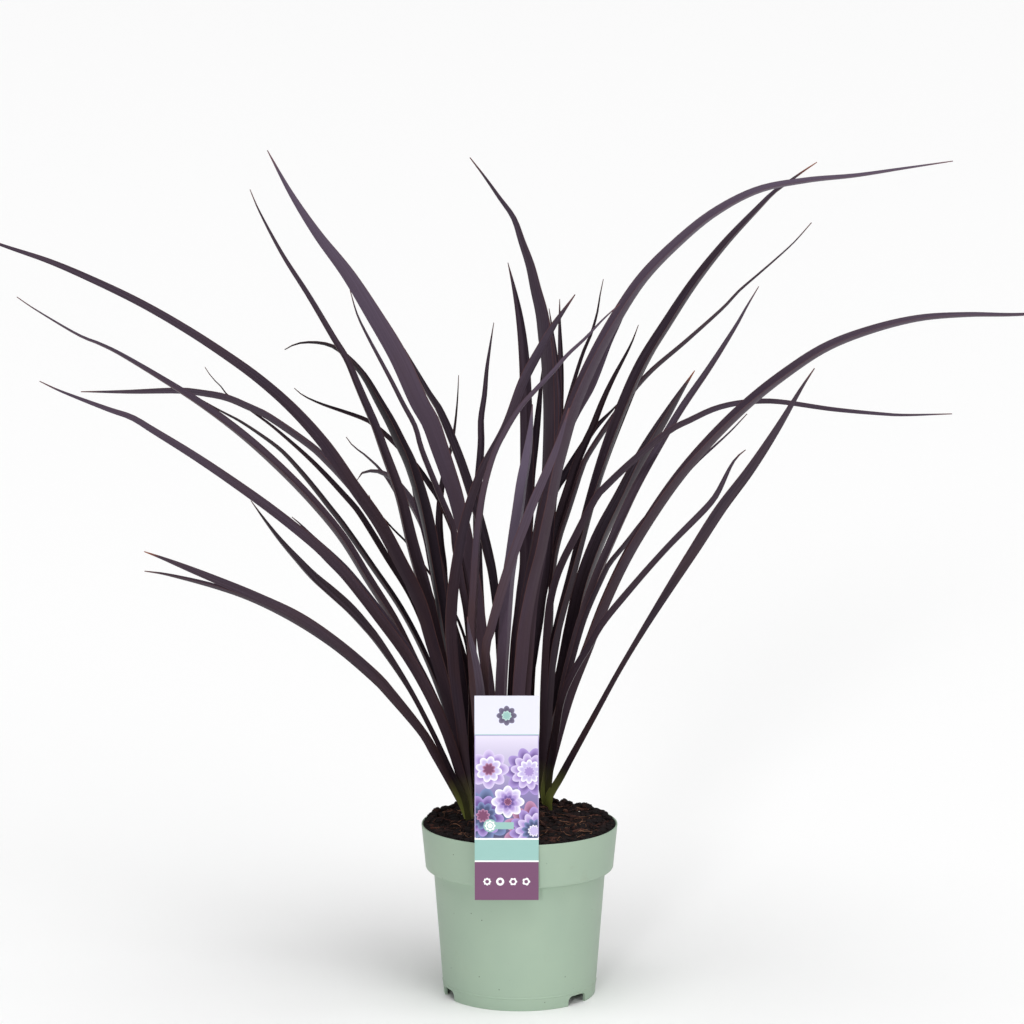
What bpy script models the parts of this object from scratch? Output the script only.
"""A New Zealand flax in a moulded nursery pot, with a plain printed label hooked on the rim.

Metres, +Z up. The origin is the middle of the circle that the pot stands on, and the label faces -Y.
"""

import math

import bmesh
import bpy
import numpy as np
from mathutils import Matrix, Vector

MM = 0.001
TOUCH_GAP = 0.3
POT_SHARP = 28
LEAF_SHARP = 35

# The pot, in millimetres: a thin tapered body under a wider collar, on a low skirt with drain notches.
RIM_RADIUS = 85.0
POT_HEIGHT = 150.0
COLLAR_HEIGHT = 39.0
COLLAR_FOOT_RADIUS = 81.2
BODY_TOP_RADIUS = 74.6
BASE_RADIUS = 66.0
WALL = 1.5
FLOOR_LIFT = 6.0
RIDGE_HEIGHT = 11.0
RIDGE_RISE = 0.4
RIDGE_HALF = 0.8
LIP_IN = 0.4
LIP_DOWN = 0.5
FLOOR_CORNER = 1.5
STEP_INSIDE = 3.2
STEP_RISE = 4.2
COLLAR_TURN = 4.0
COLLAR_EDGE = (0.6, 1.6)
COLLAR_UNDER = 2.2
UNDER_FILLET = (1.0, 0.7)
FOOT_EDGE = (0.5, 0.6)
FOOT_WALL = 2.3
POT_SIDES = 56
NOTCH_WIDTH = 22.0
NOTCH_HEIGHT = 8.6
NOTCH_CORNER = 4.5
NOTCH_DEPTH = 16.0
NOTCH_INSIDE = 0.25
NOTCH_ANGLES = (49.0, 170.0, -68.0)

# The soil, in millimetres: nearly level with the rim, a little higher round the crown of the plant.
SOIL_EDGE = 149.0
SOIL_CROWN = 154.0
SOIL_SIDES = 28
SOIL_RINGS = (77.0, 68.0, 57.0, 44.0, 30.0, 15.0)
CROWN_X = -10.0
CROWN_Y = 16.0
CROWN_SPREAD = 62.0
CRUMB_HEIGHT = 0.9
CRUMB_FADE = 12.0
ABOVE_SOIL = 20.0
STEP_PLAY = 0.4

# The label, in millimetres: a flat card, and a tab behind it that hooks over the rim.
LABEL_WIDTH = 54.0
LABEL_BOTTOM = 103.0
LABEL_TOP = 279.0
LABEL_X = -11.0
LABEL_THICK = 0.6
TAB_WIDTH = 16.0
TAB_X = -4.0
TAB_END = 134.0
TAB_OVERLAP = 0.2
SLOT_HEIGHT = 40.0

# Each shoot stands on a short round root crown, in a plain hole in the soil.
CROWN_RADIUS = 9.5
CROWN_BOTTOM = 136.0
CROWN_SHOULDER = 155.0
CROWN_TOP = 160.0
HOLE_TOP = 190.0
CROWN_SIDES = 12
CROWN_DOME = ((0.82, 0.5), (0.45, 0.88))
LEAF_FOOT = 151.0
FOOT_SPREAD_X = 2.5
FOOT_SPREAD_Y = 4.0
FOOT_SHIFT = 0.35

# Leaves: a long blade, folded along its midrib at the foot and open higher up.
BLADE_THICK = 0.8
FOOT_FOLD = 78.0
OPEN_FOLD = 42.0
OPEN_FROM = 0.42
WIDTH_SHARES = (0.0, 0.33, 0.67, 0.9, 1.0)
TIP_WIDTH = 1.3
STATION_STEP = 52.0
MIN_STATIONS = 8
CURVE_STEPS = 24
LEAN_POWER = 1.35
MAX_WING = 17.0
FOOT_WING = 7.0
GROOVE_SHARE = 0.35

# The front elevation is drawn as seen from this point (mm). A leaf that leans nearer or farther slides
# along its line of sight, so it keeps its place in the elevation.
EYE = Vector((-6.5, -3100.0, 880.0))

# Leaves that cross in the elevation keep this much room in depth (mm).
CLEAR_SHOOTS = 1.6
CLEAR_LEAVES = 1.0
CLEAR_SIDE = 1.5
FUSE_LENGTH = 75.0
CLEAR_STATIONS = 48
CLEAR_ROUNDS = 4
CLEAR_ENOUGH = 0.01
SMOOTH_ROUNDS = 400

# The shoots from the front to the back. Each has the place of its crown (x, y), then its leaves, also
# from front to back: how wide it looks (mm) at the first four of WIDTH_SHARES of its length, how far the
# tip leans back (mm, minus towards the front), roll about its own line (degrees), then the route on the
# front elevation (x, z in mm) from just above the soil to the tip.
SHOOTS = {
    "shoot_01": ((-25, -18), (
        ((7, 8.5, 7, 3.5), -50, 20, ((-31, 219), (-34, 267), (-38, 293), (-43, 315), (-45, 331))),
        ((7, 7.5, 4.5, 2.5), -80, -20, ((-39, 267), (-41, 320), (-39, 359), (-37, 395), (-35, 415),
            (-32, 436), (-27, 457), (-21, 475), (-13, 491), (0, 512), (13, 527), (28, 543), (41, 558),
            (56, 572), (70, 587), (85, 601))),
        ((6, 6.5, 7.5, 5), -20, 25, ((-29, 197), (-30, 258), (-29, 304), (-26, 316), (-23, 328), (-18, 346),
            (-13, 363), (-7, 381), (-1, 398), (3, 408), (10, 427), (18, 446), (25, 462), (31, 477),
            (37, 495), (42, 512))),
    )),
    "shoot_02": ((-10, -3), (
        ((9.5, 10, 10, 6.5), -110, 15, ((-17, 205), (-16, 267), (-13, 317), (-10, 361), (-7, 383),
            (-4, 406), (-1, 427), (2, 449), (6, 471), (9, 492), (11, 515))),
        ((7, 12.5, 8.5, 3), -45, 30, ((-4, 205), (-1, 267), (1, 293), (4, 328), (10, 363), (16, 389),
            (21, 414), (25, 433), (29, 454), (34, 474), (45, 512), (61, 550), (81, 588), (104, 623),
            (133, 653), (165, 679), (202, 698), (243, 706), (284, 710), (325, 716), (366, 722))),
        ((5, 7, 7, 5), -20, -25, ((4, 219), (6, 267), (9, 311), (12, 346), (18, 381), (23, 411), (28, 437),
            (32, 459), (36, 475), (41, 493), (49, 510), (60, 529), (68, 548), (76, 568), (85, 586),
            (94, 606))),
    )),
    "shoot_03": ((-41, 2), (
        ((4.5, 4, 8, 3), -238, 25, ((-48, 172), (-58, 193), (-76, 232), (-96, 270), (-119, 306),
            (-132, 323), (-146, 339), (-161, 353), (-177, 367), (-191, 382), (-205, 398), (-218, 415),
            (-230, 432))),
        ((5, 7, 7, 4.5), -150, 20, ((-48, 163), (-55, 180), (-73, 213), (-85, 232), (-110, 264),
            (-124, 280), (-155, 307), (-189, 331), (-226, 349), (-264, 365), (-303, 381), (-322, 388))),
        ((5, 5, 5, 3), -135, -15, ((-49, 165), (-59, 184), (-74, 211), (-85, 230), (-112, 262), (-126, 277),
            (-157, 304), (-191, 327), (-228, 346), (-262, 358), (-302, 368), (-322, 371))),
        ((6, 9.5, 6.5, 6.5), -60, 25, ((-49, 219), (-57, 285), (-59, 332), (-54, 379), (-45, 422),
            (-32, 459), (-12, 496), (3, 535), (16, 560), (29, 583), (47, 609))),
        ((7, 8.5, 7, 3.5), -90, 30, ((-46, 174), (-59, 219), (-75, 258), (-96, 296), (-121, 331),
            (-147, 365), (-161, 380), (-176, 395), (-209, 422), (-243, 447), (-278, 471), (-313, 493),
            (-331, 504), (-351, 511), (-390, 526), (-409, 535))),
        ((5, 6.5, 5, 2.5), -70, 30, ((-46, 174), (-56, 214), (-72, 256), (-93, 298), (-118, 334),
            (-144, 368), (-159, 384), (-175, 399), (-188, 412), (-195, 418))),
        ((6, 7.5, 6.5, 2), -20, -30, ((-47, 183), (-58, 214), (-72, 254), (-90, 292), (-108, 329),
            (-130, 365), (-152, 401), (-178, 433), (-207, 463), (-237, 490), (-270, 515), (-304, 537),
            (-339, 558), (-357, 567), (-376, 575), (-411, 596), (-427, 607))),
    )),
    "shoot_04": ((27, 44), (
        ((6.5, 4, 9, 4.5), -228, 20, ((25, 172), (35, 190), (45, 209), (65, 246), (85, 283), (106, 319),
            (128, 355), (150, 390), (172, 425), (197, 459), (219, 493), (240, 529), (251, 546))),
        ((5, 5.5, 5, 4), -183, -20, ((25, 183), (32, 236), (38, 264), (49, 288), (61, 308), (72, 327),
            (98, 359), (127, 392), (156, 422), (164, 431), (170, 440), (180, 461), (186, 470), (193, 476))),
        ((7, 9, 8, 3), -103, 25, ((22, 181), (31, 220), (43, 263), (58, 303), (73, 343), (91, 382),
            (112, 418), (136, 453), (163, 485), (193, 515), (225, 541), (260, 564), (298, 579), (339, 589),
            (380, 592), (422, 592), (479, 595))),
        ((3.5, 4.5, 3.5, 1.5), -33, 0, ((25, 205), (34, 247), (44, 289), (56, 331), (72, 368), (78, 379),
            (91, 395), (107, 416), (124, 435), (139, 452), (152, 466), (165, 478), (180, 492), (194, 507))),
    )),
    "shoot_05": ((-24, 19), (
        ((8, 10, 15.5, 6), -10, 35, ((-22, 188), (-25, 258), (-30, 298), (-35, 338), (-38, 359), (-46, 401),
            (-51, 421), (-56, 441), (-69, 480), (-76, 500), (-86, 518), (-103, 556), (-124, 592),
            (-146, 627), (-171, 660), (-193, 694), (-213, 731))),
        ((5, 6, 4.5, 2.5), 60, -20, ((-29, 197), (-36, 241), (-42, 306), (-45, 334), (-47, 346), (-50, 362),
            (-52, 376), (-55, 392), (-57, 410), (-66, 432), (-83, 475), (-89, 496), (-99, 515), (-109, 535),
            (-119, 554), (-129, 573), (-138, 592), (-144, 613))),
        ((7, 6.5, 8, 5), 150, 20, ((-16, 197), (-15, 258), (-17, 302), (-19, 333), (-23, 368), (-27, 388),
            (-32, 408), (-38, 429), (-51, 469), (-67, 508), (-78, 526), (-98, 563))),
        ((5, 7, 7, 3.5), 190, -15, ((-24, 197), (-28, 258), (-34, 346), (-36, 394), (-36, 437), (-33, 480),
            (-33, 502), (-30, 523), (-28, 545), (-25, 566), (-22, 585))),
    )),
    "shoot_06": ((-43, 30), (
        ((7, 11, 7, 4), -10, 30, ((-45, 174), (-53, 214), (-63, 265), (-75, 308), (-86, 346), (-102, 379),
            (-120, 413), (-142, 445), (-165, 479), (-192, 510), (-222, 537), (-255, 561), (-289, 583),
            (-324, 603), (-361, 621), (-398, 637), (-436, 650), (-472, 663))),
        ((7, 11, 6, 3), 45, -30, ((-46, 183), (-54, 227), (-63, 272), (-72, 314), (-81, 355), (-92, 396),
            (-102, 437), (-116, 477), (-123, 497), (-131, 516), (-139, 535), (-147, 554), (-158, 572),
            (-179, 608), (-201, 643), (-220, 679), (-228, 698))),
        ((7, 9.5, 10.5, 3.5), 110, 20, ((-45, 183), (-53, 245), (-61, 298), (-71, 372), (-80, 421),
            (-92, 461), (-101, 481), (-110, 500), (-120, 518), (-130, 536), (-139, 548), (-149, 558),
            (-159, 565), (-171, 568), (-185, 568), (-195, 565), (-200, 562))),
        ((4.5, 5, 5, 3), 165, -20, ((-43, 197), (-41, 276), (-43, 346), (-51, 389), (-66, 428), (-77, 446),
            (-89, 463), (-102, 477), (-112, 487), (-126, 499), (-136, 504), (-156, 511), (-165, 514),
            (-175, 518), (-185, 523), (-192, 529))),
    )),
    "shoot_07": ((-2, 35), (
        ((7, 9, 13, 4), 20, 30, ((-3, 205), (0, 267), (4, 328), (9, 363), (15, 394), (20, 420), (24, 441),
            (26, 465), (27, 508), (25, 550), (22, 572), (19, 593), (14, 613), (9, 634), (2, 654), (-5, 674),
            (-17, 691), (-29, 708), (-42, 725))),
        ((6, 8.5, 11.5, 6.5), 120, -20, ((-5, 205), (-3, 302), (1, 346), (5, 377), (5, 407), (6, 445),
            (6, 484), (5, 531), (4, 552), (2, 574), (-1, 595), (-5, 615), (-10, 636))),
        ((5, 7, 7.5, 5), 170, 15, ((-10, 205), (-7, 267), (-4, 311), (0, 342), (3, 368), (7, 398), (9, 433),
            (10, 454), (13, 480), (16, 508), (18, 529), (20, 551))),
    )),
    "shoot_08": ((23, 64), (
        ((4.5, 6, 4.5, 2.5), -27, -15, ((20, 188), (20, 249), (22, 298), (25, 337), (30, 361), (37, 380),
            (46, 398), (64, 433), (73, 444), (97, 467), (127, 492), (146, 502), (165, 511), (184, 516),
            (205, 518), (226, 517), (267, 511), (309, 507), (330, 506), (369, 507))),
        ((6, 8, 9.5, 4.5), 13, 25, ((22, 197), (24, 241), (28, 298), (34, 328), (44, 366), (50, 390),
            (60, 430), (72, 471), (86, 510), (103, 549), (125, 585), (148, 620), (174, 653), (202, 683),
            (215, 696), (228, 705), (239, 713), (251, 721))),
        ((5, 7, 6.5, 3.5), 63, 25, ((25, 197), (32, 239), (40, 281), (51, 323), (64, 362), (80, 401),
            (97, 439), (117, 476), (138, 512), (161, 546), (183, 581), (193, 599), (203, 616))),
        ((4.5, 4.5, 4, 1.5), 103, -15, ((18, 197), (22, 276), (26, 323), (27, 355), (29, 375), (31, 388),
            (35, 404), (40, 419), (47, 441), (52, 457), (59, 473), (83, 509), (109, 541), (141, 569),
            (172, 597), (186, 612), (202, 626), (218, 640), (233, 654), (247, 670))),
    )),
    "shoot_09": ((-36, 50), (
        ((5, 6, 6, 4), 110, 15, ((-45, 179), (-52, 216), (-60, 253), (-69, 289), (-78, 320), (-90, 348),
            (-103, 378), (-119, 408), (-138, 436), (-150, 451), (-164, 466), (-179, 480), (-213, 504),
            (-231, 513), (-250, 521), (-271, 525), (-291, 527), (-333, 526), (-374, 526))),
        ((5, 5.5, 4.5, 1.5), 150, -20, ((-45, 183), (-52, 219), (-64, 270), (-77, 310), (-93, 349),
            (-114, 384), (-136, 420), (-149, 436), (-177, 466), (-207, 493), (-224, 506), (-238, 516),
            (-248, 522), (-255, 531), (-262, 538), (-268, 547))),
        ((4, 5, 4.5, 2), 165, 20, ((-44, 188), (-52, 216), (-66, 259), (-82, 300), (-102, 339), (-126, 375),
            (-150, 410), (-163, 427), (-176, 444), (-190, 461), (-204, 476), (-221, 489), (-239, 501),
            (-254, 509), (-268, 517), (-280, 524))),
        ((5, 7, 5.5, 3.5), 105, -20, ((-43, 192), (-49, 227), (-55, 258), (-60, 293), (-65, 323),
            (-71, 353), (-76, 377), (-79, 394), (-84, 414), (-87, 427), (-90, 442), (-92, 458), (-96, 471),
            (-100, 483))),
        ((6, 7.5, 9.5, 5), 145, 25, ((-41, 197), (-46, 249), (-54, 302), (-64, 346), (-69, 372), (-75, 394),
            (-82, 412), (-91, 429), (-101, 443), (-109, 452), (-119, 457), (-126, 458), (-133, 457),
            (-137, 454), (-139, 450))),
        ((5, 8, 6.5, 2), 150, -25, ((-39, 205), (-45, 279), (-50, 298), (-56, 318), (-62, 339), (-65, 359),
            (-66, 377), (-68, 394), (-69, 414), (-68, 433), (-66, 448), (-63, 462), (-58, 480), (-55, 499),
            (-53, 520), (-52, 540))),
        ((3.5, 3.5, 2.5, 2), 150, 20, ((-41, 197), (-51, 258), (-64, 311), (-77, 355), (-90, 394),
            (-101, 428), (-110, 446), (-119, 459), (-127, 467), (-135, 474), (-142, 479), (-148, 487))),
        ((3.5, 3, 2, 1.5), 160, -20, ((-41, 197), (-42, 267), (-45, 302), (-49, 318), (-55, 333),
            (-63, 348), (-73, 363), (-85, 380), (-97, 396), (-107, 406), (-114, 414), (-121, 422),
            (-126, 429), (-129, 437))),
    )),
    "shoot_10": ((3, 62), (
        ((5, 7, 7.5, 4), 125, -25, ((4, 205), (8, 267), (12, 296), (14, 310), (17, 328), (19, 346),
            (22, 363), (24, 376), (25, 394), (28, 450), (33, 510), (33, 532), (30, 562), (25, 597))),
        ((3.5, 4, 4, 2.5), 135, 0, ((-5, 205), (0, 258), (3, 306), (6, 337), (11, 368), (18, 415),
            (26, 463), (37, 503), (49, 544), (55, 562), (61, 576), (66, 594), (68, 607), (71, 622))),
        ((5.5, 7.5, 7.5, 3.5), 145, 20, ((7, 197), (9, 258), (11, 296), (15, 328), (22, 363), (25, 381),
            (28, 394), (31, 404), (35, 422), (41, 441), (46, 457), (50, 468), (56, 482), (62, 495),
            (70, 516), (79, 536), (94, 565), (101, 583))),
        ((8.5, 14, 12.5, 7.5), 150, -30, ((18, 197), (26, 238), (37, 279), (45, 320), (54, 361), (68, 400),
            (87, 437), (106, 474), (127, 509), (138, 527), (149, 544))),
        ((4.5, 5.5, 6, 4.5), 155, -20, ((6, 197), (9, 263), (13, 306), (16, 328), (20, 355), (24, 376),
            (26, 398), (29, 433), (32, 467), (34, 497), (35, 541), (34, 584), (34, 605))),
        ((4.5, 5, 5, 3.5), 145, 20, ((21, 197), (25, 258), (31, 302), (39, 346), (48, 381), (60, 424),
            (72, 462), (87, 502), (104, 543), (123, 577), (138, 604))),
        ((5, 7, 7.5, 5), 175, 20, ((-5, 223), (-2, 267), (1, 302), (4, 328), (7, 355), (12, 381), (17, 407),
            (24, 427), (31, 443), (37, 452), (50, 473), (63, 493), (77, 508), (87, 519))),
    )),
}
MIDDLE_SHOOT = "shoot_05"


def clear_scene():
    for obj in list(bpy.data.objects):
        bpy.data.objects.remove(obj)


def material(name, hex_colour, roughness):
    """A plain Principled material from an sRGB colour."""
    channels = [int(hex_colour[i:i + 2], 16) / 255 for i in (0, 2, 4)]
    linear = [c / 12.92 if c <= 0.04045 else ((c + 0.055) / 1.055) ** 2.4 for c in channels]
    made = bpy.data.materials.new(name)
    made.use_nodes = True
    shader = made.node_tree.nodes["Principled BSDF"]
    shader.inputs["Base Color"].default_value = (*linear, 1.0)
    shader.inputs["Roughness"].default_value = roughness
    shader.inputs["Metallic"].default_value = 0.0
    made.diffuse_color = (*linear, 1.0)
    return made


def new_object(name, bm, finish=None, smooth=None):
    """An object in the scene from a bmesh in millimetres."""
    bmesh.ops.scale(bm, vec=(MM, MM, MM), verts=bm.verts)
    mesh = bpy.data.meshes.new(name)
    bm.to_mesh(mesh)
    bm.free()
    if smooth:
        mesh.shade_smooth()
        mesh.set_sharp_from_angle(angle=math.radians(smooth))
    if finish:
        mesh.materials.append(finish)
    obj = bpy.data.objects.new(name, mesh)
    bpy.context.scene.collection.objects.link(obj)
    return obj


def turned(profile, sides):
    """A bmesh of a profile of (radius, height) points turned about Z."""
    bm = bmesh.new()
    points = [bm.verts.new((radius, 0.0, height)) for radius, height in profile]
    edges = [bm.edges.new(pair) for pair in zip(points, points[1:])]
    if profile[0][0] > 0.0:
        edges.append(bm.edges.new((points[-1], points[0])))
    bmesh.ops.spin(bm, geom=points + edges, cent=(0, 0, 0), axis=(0, 0, 1), angle=math.tau, steps=sides)
    bmesh.ops.remove_doubles(bm, verts=bm.verts, dist=0.001)
    bmesh.ops.recalc_face_normals(bm, faces=bm.faces)
    return bm


def use_boolean(obj, operation, others, solver="EXACT"):
    """Applies a Boolean with every object of a list, then removes those objects."""
    group = bpy.data.collections.new(obj.name + "_tools")
    for other in others:
        group.objects.link(other)
    boolean = obj.modifiers.new(operation.lower(), "BOOLEAN")
    boolean.operation = operation
    boolean.operand_type = "COLLECTION"
    boolean.collection = group
    boolean.solver = solver
    bpy.context.view_layer.update()
    evaluated = obj.evaluated_get(bpy.context.evaluated_depsgraph_get())
    result = bpy.data.meshes.new_from_object(evaluated)
    obj.modifiers.remove(boolean)
    obj.data = result
    for other in others:
        bpy.data.objects.remove(other)
    bpy.data.collections.remove(group)


def keep_largest_shell(obj):
    """Drops the skins of sealed hollows and any loose scrap, so the object is one body."""
    bm = bmesh.new()
    bm.from_mesh(obj.data)
    left = set(bm.verts)
    shells = []
    while left:
        stack = [left.pop()]
        shell = set(stack)
        while stack:
            for edge in stack.pop().link_edges:
                for vert in edge.verts:
                    if vert in left:
                        left.remove(vert)
                        shell.add(vert)
                        stack.append(vert)
        shells.append(shell)
    shells.sort(key=len)
    extra = [vert for shell in shells[:-1] for vert in shell]
    bmesh.ops.delete(bm, geom=extra, context="VERTS")
    bmesh.ops.triangulate(bm, faces=bm.faces)
    bm.to_mesh(obj.data)
    bm.free()


def collar_radius(height):
    """The collar's outer radius at a height."""
    drop = (POT_HEIGHT - height) / COLLAR_HEIGHT
    return RIM_RADIUS + (COLLAR_FOOT_RADIUS - RIM_RADIUS) * drop


def body_radius(height):
    """The body's outer radius at a height, under the collar."""
    return BASE_RADIUS + (BODY_TOP_RADIUS - BASE_RADIUS) * height / (POT_HEIGHT - COLLAR_HEIGHT)


def make_pot():
    collar_foot = POT_HEIGHT - COLLAR_HEIGHT
    floor_top = FLOOR_LIFT + WALL
    profile = [
        (0.0, floor_top),
        (body_radius(floor_top) - WALL - FLOOR_CORNER, floor_top),
        (body_radius(floor_top + FLOOR_CORNER) - WALL, floor_top + FLOOR_CORNER),
        (body_radius(collar_foot) - WALL, collar_foot),
        (COLLAR_FOOT_RADIUS - STEP_INSIDE, collar_foot + WALL),
        (COLLAR_FOOT_RADIUS - WALL, collar_foot + STEP_RISE),
        (RIM_RADIUS - WALL, POT_HEIGHT - LIP_DOWN),
        (RIM_RADIUS - WALL + LIP_IN, POT_HEIGHT),
        (RIM_RADIUS - LIP_IN, POT_HEIGHT),
        (RIM_RADIUS, POT_HEIGHT - LIP_DOWN),
        (collar_radius(collar_foot + COLLAR_TURN), collar_foot + COLLAR_TURN),
        (COLLAR_FOOT_RADIUS - COLLAR_EDGE[0], collar_foot + COLLAR_EDGE[1]),
        (COLLAR_FOOT_RADIUS - COLLAR_UNDER, collar_foot),
        (BODY_TOP_RADIUS + UNDER_FILLET[0], collar_foot - UNDER_FILLET[1]),
        (body_radius(collar_foot - COLLAR_UNDER), collar_foot - COLLAR_UNDER),
        (body_radius(RIDGE_HEIGHT + RIDGE_HALF), RIDGE_HEIGHT + RIDGE_HALF),
        (body_radius(RIDGE_HEIGHT) + RIDGE_RISE, RIDGE_HEIGHT),
        (body_radius(RIDGE_HEIGHT - RIDGE_HALF), RIDGE_HEIGHT - RIDGE_HALF),
        (BASE_RADIUS, FOOT_EDGE[1]),
        (BASE_RADIUS - FOOT_EDGE[0], 0.0),
        (BASE_RADIUS - FOOT_WALL, 0.0),
        (body_radius(FLOOR_LIFT) - FOOT_WALL, FLOOR_LIFT),
        (0.0, FLOOR_LIFT),
    ]
    finish = material("moulded_polypropylene", "A6BDA6", 0.5)
    pot = new_object("pot", turned(profile, POT_SIDES), finish)
    use_boolean(pot, "DIFFERENCE", [make_notch(angle) for angle in NOTCH_ANGLES])
    pot.data.shade_smooth()
    pot.data.set_sharp_from_angle(angle=math.radians(POT_SHARP))
    return pot


def make_notch(angle):
    """A cutter for one drain notch: a block with rounded top corners through the skirt and floor edge."""
    bm = bmesh.new()
    bmesh.ops.create_cube(bm, size=1.0)
    bmesh.ops.scale(bm, vec=(NOTCH_WIDTH, NOTCH_DEPTH, 2 * NOTCH_HEIGHT), verts=bm.verts)
    top = [e for e in bm.edges
           if all(v.co.z > 0 for v in e.verts) and abs(e.verts[0].co.y - e.verts[1].co.y) > 1.0]
    bmesh.ops.bevel(bm, geom=top, offset=NOTCH_CORNER, segments=3, profile=0.5, affect="EDGES")
    bmesh.ops.translate(bm, vec=(0, NOTCH_INSIDE * NOTCH_DEPTH - BASE_RADIUS, 0), verts=bm.verts)
    bmesh.ops.rotate(bm, matrix=Matrix.Rotation(math.radians(angle), 3, "Z"), verts=bm.verts)
    return new_object("notch", bm)


def soil_height(x, y):
    """The height of the soil's surface: a low mound round the crown, with a fine crumbly relief."""
    mound = math.exp(-((x - CROWN_X) ** 2 + (y - CROWN_Y) ** 2) / CROWN_SPREAD ** 2)
    crumbs = math.sin(0.31 * x + 1.3) * math.cos(0.27 * y - 0.4) + 0.6 * math.sin(0.57 * y - 0.43 * x)
    fade = min(1.0, (RIM_RADIUS - math.hypot(x, y)) / CRUMB_FADE)
    return SOIL_EDGE + (SOIL_CROWN - SOIL_EDGE) * mound + CRUMB_HEIGHT * crumbs * fade


def make_soil():
    """Soil that fills the pot, with a plain hole for each shoot's crown and a slot for the label's tab."""
    collar_foot = POT_HEIGHT - COLLAR_HEIGHT
    floor_top = FLOOR_LIFT + WALL + TOUCH_GAP
    corner_top = floor_top + FLOOR_CORNER + TOUCH_GAP
    side = WALL + TOUCH_GAP
    sides = [
        (0.0, floor_top),
        (body_radius(floor_top) - side - FLOOR_CORNER - TOUCH_GAP, floor_top),
        (body_radius(corner_top) - side, corner_top),
        (body_radius(collar_foot) - side, collar_foot + STEP_PLAY / 2),
        (COLLAR_FOOT_RADIUS - STEP_INSIDE - STEP_PLAY, collar_foot + WALL + STEP_PLAY),
        (COLLAR_FOOT_RADIUS - side, collar_foot + STEP_RISE + STEP_PLAY / 2),
        (collar_radius(SOIL_EDGE) - side, SOIL_EDGE),
    ]
    top = [(radius, SOIL_EDGE + ABOVE_SOIL) for radius in (*SOIL_RINGS, 0.0)]
    bm = turned(sides + top, SOIL_SIDES)
    for vert in bm.verts:
        if vert.co.z > SOIL_EDGE + ABOVE_SOIL / 2:
            vert.co.z = soil_height(vert.co.x, vert.co.y)
    bmesh.ops.triangulate(bm, faces=bm.faces)
    soil = new_object("soil", bm, material("peat_and_coir", "2A1B16", 0.95))
    cutters = [new_object("hole", crown_hole(place))
               for place, leaves in SHOOTS.values()]
    cutters.append(make_tab_slot())
    use_boolean(soil, "DIFFERENCE", cutters)
    keep_largest_shell(soil)
    return soil


def crown_hole(place):
    """The cutter for a crown's hole: a plain round block, wider than the crown by the gap."""
    bottom = CROWN_BOTTOM - TOUCH_GAP
    radius = CROWN_RADIUS + TOUCH_GAP
    bm = bmesh.new()
    bmesh.ops.create_cone(bm, cap_ends=True, segments=CROWN_SIDES, radius1=radius, radius2=radius,
                          depth=HOLE_TOP - bottom)
    bmesh.ops.translate(bm, vec=(place[0], place[1], (HOLE_TOP + bottom) / 2), verts=bm.verts)
    return bm


def tab_outer_y(height):
    """The tab's face towards the wall, clear of the collar's inner side across the tab's width."""
    edge = max(abs(TAB_X - TAB_WIDTH / 2), abs(TAB_X + TAB_WIDTH / 2))
    radius = collar_radius(height) - WALL - TOUCH_GAP
    return -math.sqrt(radius ** 2 - edge ** 2)


def make_tab_slot():
    """The cutter that clears the soil round the label's tab, open towards the pot's wall."""
    front = -RIM_RADIUS - 2.0
    back = tab_outer_y(TAB_END) + LABEL_THICK + TOUCH_GAP
    bm = bmesh.new()
    bmesh.ops.create_cube(bm, size=1.0)
    bmesh.ops.scale(bm, vec=(TAB_WIDTH + 2 * TOUCH_GAP, back - front, SLOT_HEIGHT), verts=bm.verts)
    middle = (TAB_X, (back + front) / 2, TAB_END - TOUCH_GAP + SLOT_HEIGHT / 2)
    bmesh.ops.translate(bm, vec=middle, verts=bm.verts)
    return new_object("tab_slot", bm)


def prism(outline, x_from, x_to):
    """A bmesh of an outline of (y, z) points drawn out along X."""
    bm = bmesh.new()
    face = bm.faces.new([bm.verts.new((x_from, y, z)) for y, z in outline])
    drawn = bmesh.ops.extrude_face_region(bm, geom=[face])
    moved = [item for item in drawn["geom"] if isinstance(item, bmesh.types.BMVert)]
    bmesh.ops.translate(bm, vec=(x_to - x_from, 0, 0), verts=moved)
    bmesh.ops.recalc_face_normals(bm, faces=bm.faces)
    return bm


def make_label():
    """The printed card in front of the collar, with the tab that hooks over the rim."""
    back = -RIM_RADIUS - TOUCH_GAP
    front = back - LABEL_THICK
    card = [(front, LABEL_BOTTOM), (back, LABEL_BOTTOM), (back, LABEL_TOP), (front, LABEL_TOP)]
    finish = material("printed_card", "E9E8F7", 0.35)
    label = new_object("label", prism(card, LABEL_X - LABEL_WIDTH / 2, LABEL_X + LABEL_WIDTH / 2), finish)
    over = POT_HEIGHT + TOUCH_GAP
    inner_top = tab_outer_y(POT_HEIGHT)
    inner_end = tab_outer_y(TAB_END)
    hook = [
        (front + TAB_OVERLAP, over),
        (inner_top, over),
        (inner_end, TAB_END),
        (inner_end + LABEL_THICK, TAB_END),
        (inner_top + LABEL_THICK, over + LABEL_THICK),
        (front + TAB_OVERLAP, over + LABEL_THICK),
    ]
    tab = new_object("tab", prism(hook, TAB_X - TAB_WIDTH / 2, TAB_X + TAB_WIDTH / 2))
    use_boolean(label, "UNION", [tab])
    return label


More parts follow.
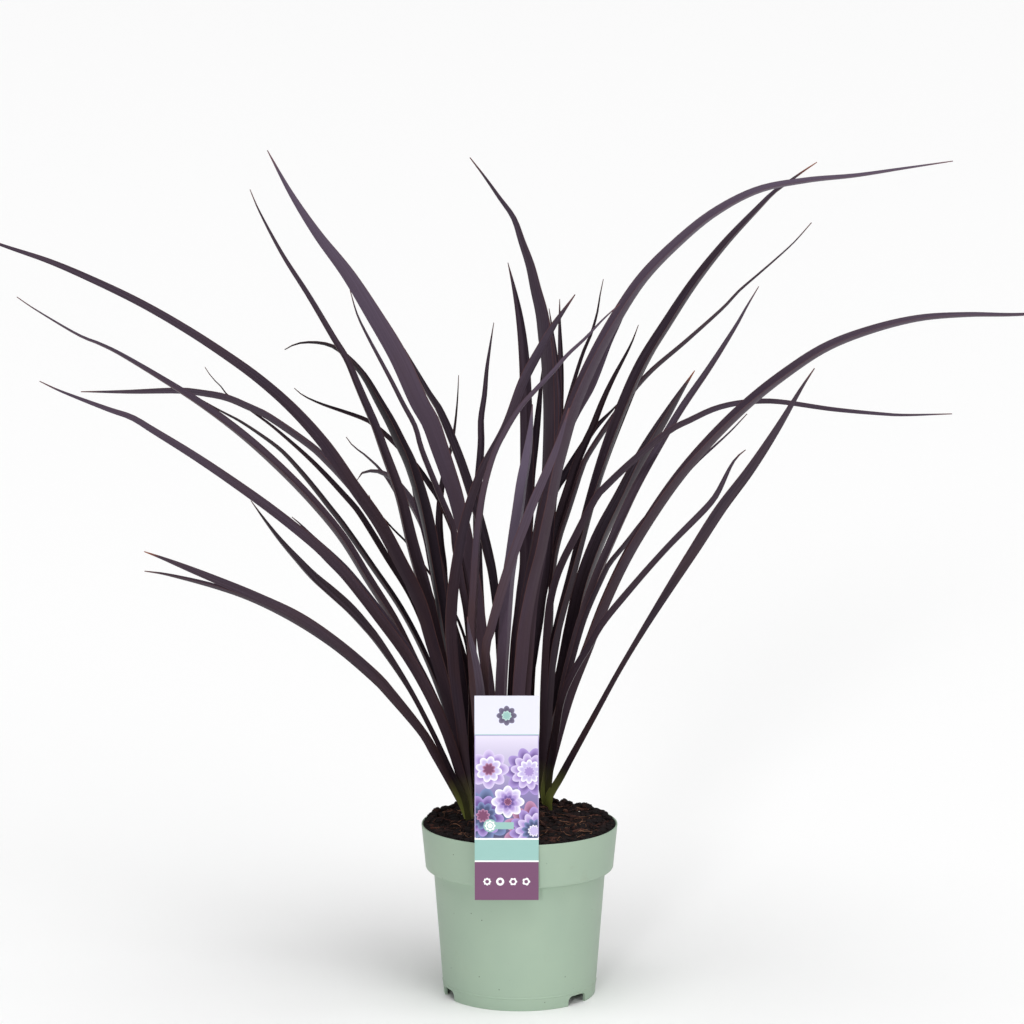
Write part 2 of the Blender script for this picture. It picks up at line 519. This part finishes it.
def smooth_route(points, count):
    """Evenly spaced points on a smooth curve (Catmull-Rom) through the given points."""
    ends = [2 * points[0] - points[1], *points, 2 * points[-1] - points[-2]]
    fine = []
    for a, b, c, d in zip(ends, ends[1:], ends[2:], ends[3:]):
        for step in range(CURVE_STEPS):
            t = step / CURVE_STEPS
            fine.append(0.5 * (2 * b + (c - a) * t + (2 * a - 5 * b + 4 * c - d) * t ** 2
                               + (3 * b - 3 * c + d - a) * t ** 3))
    fine.append(points[-1])
    fine = np.array(fine)
    along = np.concatenate([[0.0], np.cumsum(np.linalg.norm(np.diff(fine, axis=0), axis=1))])
    even = np.linspace(0.0, along[-1], count)
    return np.stack([np.interp(even, along, fine[:, axis]) for axis in (0, 1)], axis=1), along[-1]


def look_width(widths, t):
    """How wide the leaf looks from the front at t, from its foot (0) to its tip (1): a smooth curve."""
    knots = (*widths, TIP_WIDTH)
    slopes = np.gradient(knots, WIDTH_SHARES)
    index = min(int(np.searchsorted(WIDTH_SHARES, t, side="right")) - 1, len(WIDTH_SHARES) - 2)
    run = WIDTH_SHARES[index + 1] - WIDTH_SHARES[index]
    u = (t - WIDTH_SHARES[index]) / run
    rise = 3 * u ** 2 - 2 * u ** 3
    smooth = (1 - rise) * knots[index] + rise * knots[index + 1]
    smooth += (u ** 3 - 2 * u ** 2 + u) * run * slopes[index] + (u ** 3 - u ** 2) * run * slopes[index + 1]
    return max(TIP_WIDTH, smooth)


def fold_angle(t):
    """How far each half of the blade is folded up from flat, in radians."""
    opened = min(1.0, t / OPEN_FROM)
    opened = opened * opened * (3 - 2 * opened)
    return math.radians(FOOT_FOLD + (OPEN_FOLD - FOOT_FOLD) * opened)


class Leaf:
    """One blade: its route, its section along the route, and how far it is bent clear of others."""

    def __init__(self, shoot, place, rank, spec):
        widths, lean, roll, route = spec
        self.shoot = shoot
        self.widths = widths
        self.lean = lean
        self.roll = math.radians(roll)
        sideways = max(-FOOT_SPREAD_X, min(FOOT_SPREAD_X, FOOT_SHIFT * (route[0][0] - place[0])))
        self.foot = Vector((place[0] + sideways, place[1] + rank * FOOT_SPREAD_Y, LEAF_FOOT))
        nearer = -EYE.y / (self.foot.y - EYE.y)
        foot_drawn = (EYE.x + (self.foot.x - EYE.x) * nearer, EYE.z + (LEAF_FOOT - EYE.z) * nearer)
        self.drawn = [np.array(point, float) for point in (foot_drawn, *route)]
        self.line, self.length = smooth_route(self.drawn, CLEAR_STATIONS)
        self.t = np.linspace(0.0, 1.0, CLEAR_STATIONS)
        self.push = np.zeros(CLEAR_STATIONS)
        self.measure()

    def depth(self, t):
        return self.foot.y + self.lean * t ** LEAN_POWER + np.interp(t, self.t, self.push)

    def place(self, drawn, depth):
        """A point of the elevation, slid along its line of sight to a depth."""
        farther = (depth - EYE.y) / -EYE.y
        return Vector((EYE.x + (drawn[0] - EYE.x) * farther, depth, EYE.z + (drawn[1] - EYE.z) * farther))

    def stations(self, count):
        """Centre, wing ends and keel of the section at evenly spaced places, with the wings' normals."""
        line = smooth_route(self.drawn, count)[0]
        ts = np.linspace(0.0, 1.0, count)
        centres = [self.place(point, float(self.depth(t))) for point, t in zip(line, ts)]
        outward = Vector((centres[-1].x - centres[0].x, centres[-1].y - centres[0].y, 0)).normalized()
        upper = Vector((0, 0, 1)) - outward
        made = []
        for index, (centre, t) in enumerate(zip(centres, ts)):
            ahead = centres[min(index + 1, count - 1)] - centres[max(index - 1, 0)]
            tangent = ahead.normalized()
            face = (upper - upper.dot(tangent) * tangent).normalized()
            face = Matrix.Rotation(self.roll * t ** 0.5, 3, tangent) @ face
            side = tangent.cross(face)
            sight = (centre - EYE).normalized()
            across = tangent.cross(sight).normalized()
            fold = fold_angle(t)
            wings = [math.cos(fold) * side * sign + math.sin(fold) * face for sign in (-1, 1)]
            reach = [0.0] + [wing.dot(across) for wing in wings]
            wing_length = look_width(self.widths, t) / (max(reach) - min(reach))
            wing_length = min(wing_length, FOOT_WING + (MAX_WING - FOOT_WING) * min(1.0, 5 * t))
            depths = [0.0] + [wing.dot(sight) for wing in wings]
            aside = 0.5 * (max(reach) + min(reach)) * wing_length
            away = 0.5 * (max(depths) + min(depths)) * wing_length
            keel = centre - across * aside - sight * away
            made.append((keel, wings, face, wing_length, fold))
        return made

    def measure(self):
        """Half the look width and the reach in depth at each place where clearance is tested."""
        stations = self.stations(CLEAR_STATIONS)
        self.half = np.array([look_width(self.widths, t) / 2 for t in self.t])
        depths = np.array([[keel.y] + [(keel + wing * length).y for wing in wings]
                           for keel, wings, face, length, fold in stations])
        middle = self.depth(self.t)
        self.front = depths.min(axis=1) - middle - BLADE_THICK / 2
        self.back = depths.max(axis=1) - middle + BLADE_THICK / 2


def needed_push(leaf, other, behind):
    """How far each place of a leaf has to move in depth to pass behind (or before) another leaf."""
    starts = other.line[:-1]
    runs = other.line[1:] - starts
    offsets = leaf.line[:, None, :] - starts[None, :, :]
    along = np.clip((offsets * runs).sum(axis=2) / (runs ** 2).sum(axis=1), 0.0, 1.0)
    gaps = np.linalg.norm(offsets - along[..., None] * runs, axis=2)
    meets = gaps < leaf.half[:, None] + other.half[None, :-1] + CLEAR_SIDE
    room = CLEAR_LEAVES if leaf.shoot == other.shoot else CLEAR_SHOOTS
    if leaf.shoot == other.shoot:
        grown = leaf.t * leaf.length > FUSE_LENGTH
        other_grown = other.t[:-1] * other.length > FUSE_LENGTH
        meets &= grown[:, None] & other_grown[None, :]
    theirs = other.depth(other.t)
    mine = leaf.depth(leaf.t)
    if behind:
        limit = np.maximum((theirs + other.back)[:-1], (theirs + other.back)[1:]) + room
        short = limit[None, :] - (mine + leaf.front)[:, None]
    else:
        limit = np.minimum((theirs + other.front)[:-1], (theirs + other.front)[1:]) - room
        short = (mine + leaf.back)[:, None] - limit[None, :]
    return np.where(meets, short, 0.0).max(axis=1).clip(0.0)


def bend_clear(leaf, others, behind):
    """Bends a leaf in depth, smoothly from its foot, until it passes clear of the others."""
    for _ in range(CLEAR_ROUNDS):
        needed = np.zeros(CLEAR_STATIONS)
        for other in others:
            needed = np.maximum(needed, needed_push(leaf, other, behind))
        if needed.max() < CLEAR_ENOUGH:
            return
        bend = needed.copy()
        bend[0] = 0.0
        bend = np.maximum.accumulate(bend)
        for _ in range(SMOOTH_ROUNDS):
            bend[1:-1] = np.maximum(bend[1:-1], 0.5 * (bend[:-2] + bend[2:]))
        leaf.push = leaf.push + (bend if behind else -bend)
        leaf.measure()


def grow_leaves():
    """Every leaf, front to back, bent clear: the middle shoot first, then backwards, then forwards."""
    leaves = []
    for shoot, (place, specs) in SHOOTS.items():
        for number, spec in enumerate(specs):
            rank = 2 * number / max(1, len(specs) - 1) - 1
            leaves.append(Leaf(shoot, place, rank, spec))
    middle = next(index for index, leaf in enumerate(leaves) if leaf.shoot == MIDDLE_SHOOT)
    for index in range(middle + 1, len(leaves)):
        bend_clear(leaves[index], leaves[middle:index], behind=True)
    for index in range(middle - 1, -1, -1):
        bend_clear(leaves[index], leaves[index + 1:], behind=False)
    return leaves


def blade_ring(station):
    """Six points of a folded blade's section: keel, outer ends and inner ends of the wings, groove."""
    keel, wings, face, length, fold = station
    half = BLADE_THICK / 2
    side = (wings[1] - wings[0]).normalized()
    out_left = -math.sin(fold) * side - math.cos(fold) * face
    out_right = math.sin(fold) * side - math.cos(fold) * face
    groove = min(half / math.cos(fold), half + GROOVE_SHARE * length * math.sin(fold))
    left = keel + wings[0] * length
    right = keel + wings[1] * length
    return [
        keel - face * min(half / math.cos(fold), 2 * half),
        right + out_right * half,
        right - out_right * half,
        keel + face * groove,
        left - out_left * half,
        left + out_left * half,
    ]


def make_blade(leaf):
    """A closed blade. Both faces of each wing are split along the same diagonal."""
    count = max(MIN_STATIONS, round(leaf.length / STATION_STEP)) + 1
    bm = bmesh.new()
    rings = [[bm.verts.new(point) for point in blade_ring(station)] for station in leaf.stations(count)]
    for low, high in zip(rings, rings[1:]):
        for a, b, rising in ((0, 1, True), (1, 2, True), (2, 3, False), (3, 4, True), (4, 5, True),
                             (5, 0, False)):
            if rising:
                bm.faces.new((low[a], low[b], high[b]))
                bm.faces.new((low[a], high[b], high[a]))
            else:
                bm.faces.new((low[a], low[b], high[a]))
                bm.faces.new((low[b], high[b], high[a]))
    for ring in (rings[0], rings[-1]):
        bm.faces.new((ring[0], ring[1], ring[2], ring[3]))
        bm.faces.new((ring[0], ring[3], ring[4], ring[5]))
    bmesh.ops.recalc_face_normals(bm, faces=bm.faces)
    bmesh.ops.triangulate(bm, faces=bm.faces)
    return new_object("blade", bm)


def make_crown(name, place, finish):
    """The root crown of a shoot, rounded on top."""
    dome = [(across * CROWN_RADIUS, CROWN_SHOULDER + up * (CROWN_TOP - CROWN_SHOULDER))
            for across, up in CROWN_DOME]
    profile = [
        (0.0, CROWN_BOTTOM),
        (CROWN_RADIUS, CROWN_BOTTOM),
        (CROWN_RADIUS, CROWN_SHOULDER),
        *dome,
        (0.0, CROWN_TOP),
    ]
    bm = turned(profile, CROWN_SIDES)
    bmesh.ops.translate(bm, vec=(place[0], place[1], 0), verts=bm.verts)
    bmesh.ops.triangulate(bm, faces=bm.faces)
    return new_object(name, bm, finish)


def make_shoots():
    """Each shoot is its crown with its leaves fused into it."""
    leaves = grow_leaves()
    for name, (place, specs) in SHOOTS.items():
        finish = material(name + "_leaf", "3B3036", 0.45)
        shoot = make_crown(name, place, finish)
        blades = [make_blade(leaf) for leaf in leaves if leaf.shoot == name]
        use_boolean(shoot, "UNION", blades)
        keep_largest_shell(shoot)
        shoot.data.shade_smooth()
        shoot.data.set_sharp_from_angle(angle=math.radians(LEAF_SHARP))


clear_scene()
make_pot()
make_soil()
make_label()
make_shoots()
